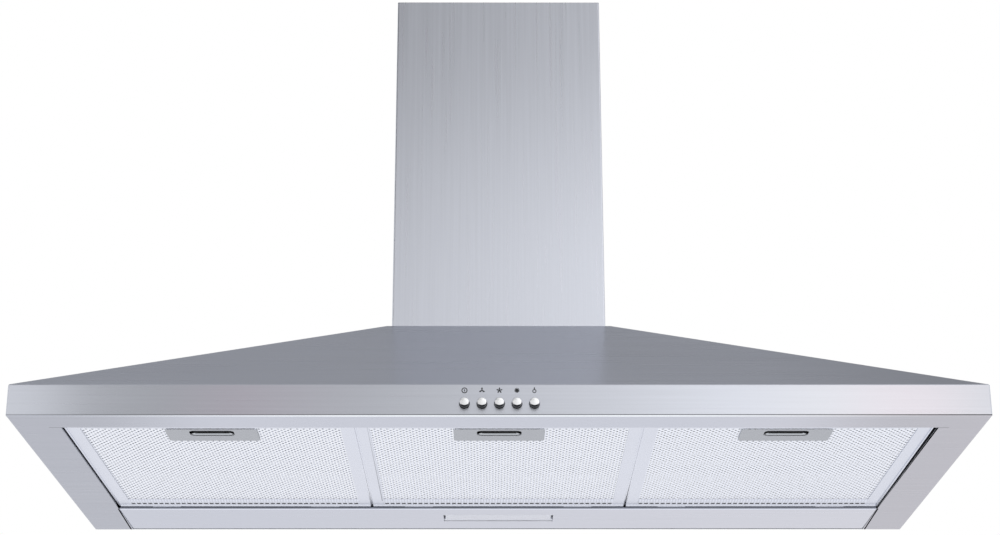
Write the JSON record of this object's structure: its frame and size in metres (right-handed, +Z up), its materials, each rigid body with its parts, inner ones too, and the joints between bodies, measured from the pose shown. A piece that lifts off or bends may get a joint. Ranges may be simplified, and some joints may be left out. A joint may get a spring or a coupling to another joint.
{
  "type": "chimney range hood",
  "caption": "Wall-mounted chimney range hood: a sloping canopy with lift-out mesh grease filters, push buttons, a lamp and a blower under a telescopic chimney.",
  "frame": {"origin": "midway between the two hanging holes, on the wall plane", "axes": "+X to the viewer's right, +Y into the wall, +Z up; the buttons face -Y"},
  "size_m": [0.9, 0.458, 0.53],
  "materials": {
    "stainless_sheet": "brushed stainless sheet",
    "galvanised_sheet": "zinc coated sheet with a spangle",
    "filter_frame": "satin folded aluminium",
    "filter_mesh": "expanded aluminium mesh",
    "handle_metal": "satin pressed plate",
    "latch_metal": "bright pressed strip",
    "button_chrome": "polished chrome",
    "lens_plastic": "frosted diffuser",
    "white_plastic": "moulded white plastic",
    "black_plastic": "moulded black plastic",
    "grey_plastic": "moulded grey plastic",
    "circuit_board": "green solder mask",
    "motor_steel": "dark baked enamel",
    "bright_steel": "ground steel and zinc plated screws"
  },
  "bodies": {
    "hood": {"back_plate": "galvanised_sheet", "blower_casing_left": "grey_plastic", "blower_casing_right": "grey_plastic", "blower_screws": "bright_steel", "cable_gland": "black_plastic", "canopy_shell": "stainless_sheet", "capacitor": "white_plastic", "flap_rod": "bright_steel", "inlet_guard": "galvanised_sheet", "inlet_ring_left": "black_plastic", "inlet_ring_right": "black_plastic", "junction_box": "grey_plastic", "junction_lid": "grey_plastic", "lamp_driver": "white_plastic", "lamp_housing": "white_plastic", "led_board": "circuit_board", "light_panel": "stainless_sheet", "lower_cover": "stainless_sheet", "motor": "motor_steel", "motor_spider": "galvanised_sheet", "outlet_collar": "black_plastic", "switch_block": "black_plastic", "switch_strap": "galvanised_sheet", "terminal_block": "white_plastic"},
    "filter_left": {"filter_left_frame": "filter_frame", "filter_left_face_mesh": "filter_mesh", "filter_left_mesh_pack": "filter_mesh", "filter_left_handle": "handle_metal"},
    "filter_left_latch": {"filter_left_latch": "latch_metal", "filter_left_latch_spring": "bright_steel"},
    "filter_centre": {"filter_centre_frame": "filter_frame", "filter_centre_face_mesh": "filter_mesh", "filter_centre_mesh_pack": "filter_mesh", "filter_centre_handle": "handle_metal"},
    "filter_centre_latch": {"filter_centre_latch": "latch_metal", "filter_centre_latch_spring": "bright_steel"},
    "filter_right": {"filter_right_frame": "filter_frame", "filter_right_face_mesh": "filter_mesh", "filter_right_mesh_pack": "filter_mesh", "filter_right_handle": "handle_metal"},
    "filter_right_latch": {"filter_right_latch": "latch_metal", "filter_right_latch_spring": "bright_steel"},
    "power_button": {"power_button": "button_chrome"},
    "low_button": {"low_button": "button_chrome"},
    "medium_button": {"medium_button": "button_chrome"},
    "high_button": {"high_button": "button_chrome"},
    "light_button": {"light_button": "button_chrome"},
    "lamp_lens": {"lamp_lens": "lens_plastic"},
    "blower_wheel": {"impeller": "black_plastic", "motor_shaft": "bright_steel"},
    "front_flap": {"front_flap": "black_plastic"},
    "rear_flap": {"rear_flap": "black_plastic"},
    "upper_chimney": {"upper_cover": "stainless_sheet", "upper_bracket": "galvanised_sheet"}
  },
  "joints": [
    {"name": "filter_left_swing", "type": "hinge", "parent": "hood", "child": "filter_left", "pos_m": [-0.2705, -0.0965, -0.1165], "axis": [1, 0, 0], "range_deg": [0, 60]},
    {"name": "filter_left_latch_slide", "type": "slide", "parent": "filter_left", "child": "filter_left_latch", "axis": [0, 1, 0], "range_m": [0, 0.007], "stiffness_N_per_m": 300, "springref_m": -0.004, "deforming": ["filter_left_latch_spring"]},
    {"name": "filter_centre_swing", "type": "hinge", "parent": "hood", "child": "filter_centre", "pos_m": [0, -0.0965, -0.1165], "axis": [1, 0, 0], "range_deg": [0, 60]},
    {"name": "filter_centre_latch_slide", "type": "slide", "parent": "filter_centre", "child": "filter_centre_latch", "axis": [0, 1, 0], "range_m": [0, 0.007], "stiffness_N_per_m": 300, "springref_m": -0.004, "deforming": ["filter_centre_latch_spring"]},
    {"name": "filter_right_swing", "type": "hinge", "parent": "hood", "child": "filter_right", "pos_m": [0.2705, -0.0965, -0.1165], "axis": [1, 0, 0], "range_deg": [0, 60]},
    {"name": "filter_right_latch_slide", "type": "slide", "parent": "filter_right", "child": "filter_right_latch", "axis": [0, 1, 0], "range_m": [0, 0.007], "stiffness_N_per_m": 300, "springref_m": -0.004, "deforming": ["filter_right_latch_spring"]},
    {"name": "power_button_press", "type": "slide", "parent": "hood", "child": "power_button", "axis": [0, 1, 0], "range_m": [0, 0.003], "stiffness_N_per_m": 400, "springref_m": -0.002},
    {"name": "low_button_press", "type": "slide", "parent": "hood", "child": "low_button", "axis": [0, 1, 0], "range_m": [0, 0.003], "stiffness_N_per_m": 400, "springref_m": -0.002},
    {"name": "medium_button_press", "type": "slide", "parent": "hood", "child": "medium_button", "axis": [0, 1, 0], "range_m": [0, 0.003], "stiffness_N_per_m": 400, "springref_m": -0.002},
    {"name": "high_button_press", "type": "slide", "parent": "hood", "child": "high_button", "axis": [0, 1, 0], "range_m": [0, 0.003], "stiffness_N_per_m": 400, "springref_m": -0.002},
    {"name": "light_button_press", "type": "slide", "parent": "hood", "child": "light_button", "axis": [0, 1, 0], "range_m": [0, 0.003], "stiffness_N_per_m": 400, "springref_m": -0.002},
    {"name": "lamp_lens_swing", "type": "hinge", "parent": "hood", "child": "lamp_lens", "pos_m": [0, -0.042, -0.1159], "axis": [1, 0, 0], "range_deg": [0, 80]},
    {"name": "blower_spin", "type": "hinge", "parent": "hood", "child": "blower_wheel", "pos_m": [0, -0.11, 0.077], "axis": [1, 0, 0], "continuous": true},
    {"name": "front_flap_swing", "type": "hinge", "parent": "hood", "child": "front_flap", "pos_m": [0, -0.14283, 0.195], "axis": [-1, 0, 0], "range_deg": [0, 80]},
    {"name": "rear_flap_swing", "type": "hinge", "parent": "hood", "child": "rear_flap", "pos_m": [0, -0.14283, 0.195], "axis": [1, 0, 0], "range_deg": [0, 80]},
    {"name": "upper_chimney_slide", "type": "slide", "parent": "hood", "child": "upper_chimney", "axis": [0, 0, 1], "range_m": [0, 0.3]}
  ]
}
